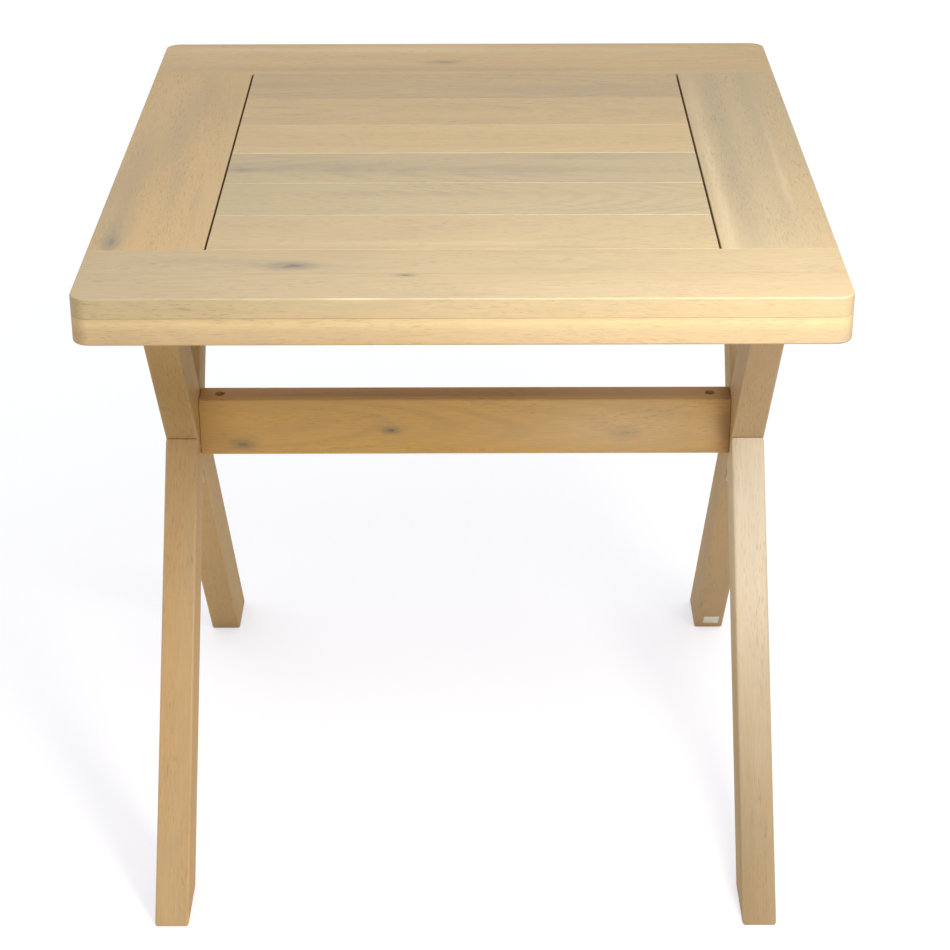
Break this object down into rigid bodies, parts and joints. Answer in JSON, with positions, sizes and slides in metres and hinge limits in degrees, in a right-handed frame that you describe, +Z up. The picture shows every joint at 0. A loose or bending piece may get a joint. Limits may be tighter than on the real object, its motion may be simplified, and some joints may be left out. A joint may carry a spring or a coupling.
{
  "type": "folding picnic table",
  "caption": "Square-framed slatted wooden table on two crossed trestles whose top, struts and front legs fold flat onto the rear legs.",
  "frame": {"origin": "on the ground under the middle of the table top", "axes": "+X along the stretcher to the table's right, +Y to the back, the side of the rear legs' feet, +Z up"},
  "size_m": [0.7, 0.8, 0.72],
  "materials": {
    "acacia_top": "lightly oiled, whitewashed acacia boards with eased edges",
    "acacia_legs": "lightly oiled acacia, planed and sanded",
    "acacia_frame": "plain sanded acacia",
    "steel_zinc": "zinc-plated steel",
    "steel_black": "satin black powder coat"
  },
  "bodies": {
    "rear_frame": {"stretcher": "acacia_legs", "left_rear_leg": "acacia_legs", "left_stretcher_bolt": "steel_zinc", "left_barrel_nut": "steel_zinc", "left_pivot_bolt": "steel_zinc", "left_pivot_washer": "steel_zinc", "left_pivot_nut": "steel_zinc", "left_front_hinge_fixed_leaf": "steel_zinc", "left_front_hinge_pin": "steel_zinc", "left_strut_hinge_fixed_leaf": "steel_zinc", "left_strut_hinge_pin": "steel_zinc", "right_rear_leg": "acacia_legs", "right_stretcher_bolt": "steel_zinc", "right_barrel_nut": "steel_zinc", "right_pivot_bolt": "steel_zinc", "right_pivot_washer": "steel_zinc", "right_pivot_nut": "steel_zinc", "right_front_hinge_fixed_leaf": "steel_zinc", "right_front_hinge_pin": "steel_zinc", "right_strut_hinge_fixed_leaf": "steel_zinc", "right_strut_hinge_pin": "steel_zinc"},
    "top": {"front_rail": "acacia_top", "back_rail": "acacia_top", "left_stile": "acacia_top", "right_stile": "acacia_top", "slat_1": "acacia_top", "slat_2": "acacia_top", "slat_3": "acacia_top", "slat_4": "acacia_top", "slat_5": "acacia_top", "slat_6": "acacia_top", "front_edge_board": "acacia_top", "back_edge_board": "acacia_top", "left_edge_board": "acacia_top", "right_edge_board": "acacia_top", "left_ledger": "acacia_frame", "right_ledger": "acacia_frame", "centre_batten": "acacia_frame", "front_left_tenon": "acacia_frame", "front_right_tenon": "acacia_frame", "back_left_tenon": "acacia_frame", "back_right_tenon": "acacia_frame", "left_slot_plate": "steel_black", "right_slot_plate": "steel_black"},
    "left_upper_strut": {"left_strut": "acacia_legs", "left_strut_hinge_moving_leaf": "steel_zinc", "left_slot_bolt": "steel_zinc", "left_slot_washer": "steel_zinc"},
    "left_wing_nut": {"left_wing_nut": "steel_zinc"},
    "left_front_leg": {"left_front_leg": "acacia_legs", "left_front_hinge_moving_leaf": "steel_zinc"},
    "right_upper_strut": {"right_strut": "acacia_legs", "right_strut_hinge_moving_leaf": "steel_zinc", "right_slot_bolt": "steel_zinc", "right_slot_washer": "steel_zinc"},
    "right_wing_nut": {"right_wing_nut": "steel_zinc"},
    "right_front_leg": {"right_front_leg": "acacia_legs", "right_front_hinge_moving_leaf": "steel_zinc"}
  },
  "joints": [
    {"name": "top_fold", "type": "hinge", "parent": "rear_frame", "child": "top", "pos_m": [0, -0.13613, 0.5916], "axis": [-1, 0, 0], "range_deg": [0, 52.9]},
    {"name": "left_strut_fold", "type": "hinge", "parent": "rear_frame", "child": "left_upper_strut", "pos_m": [0, 0.04075, 0.4116], "axis": [-1, 0, 0], "range_deg": [0, 105.8]},
    {"name": "left_front_leg_fold", "type": "hinge", "parent": "rear_frame", "child": "left_front_leg", "pos_m": [0, 0, 0.35772], "axis": [1, 0, 0], "range_deg": [0, 74.2]},
    {"name": "left_wing_nut_turn", "type": "hinge", "parent": "left_upper_strut", "child": "left_wing_nut", "pos_m": [0, 0.13613, 0.5916], "axis": [1, 0, 0], "continuous": true},
    {"name": "right_strut_fold", "type": "hinge", "parent": "rear_frame", "child": "right_upper_strut", "pos_m": [0, 0.04075, 0.4116], "axis": [-1, 0, 0], "range_deg": [0, 105.8]},
    {"name": "right_front_leg_fold", "type": "hinge", "parent": "rear_frame", "child": "right_front_leg", "pos_m": [0, 0, 0.35772], "axis": [1, 0, 0], "range_deg": [0, 74.2]},
    {"name": "right_wing_nut_turn", "type": "hinge", "parent": "right_upper_strut", "child": "right_wing_nut", "pos_m": [0, 0.13613, 0.5916], "axis": [1, 0, 0], "continuous": true}
  ],
  "couplings": [
    {"joint": "left_strut_fold", "follows": "top_fold", "ratio": 2},
    {"joint": "right_strut_fold", "follows": "top_fold", "ratio": 2}
  ]
}
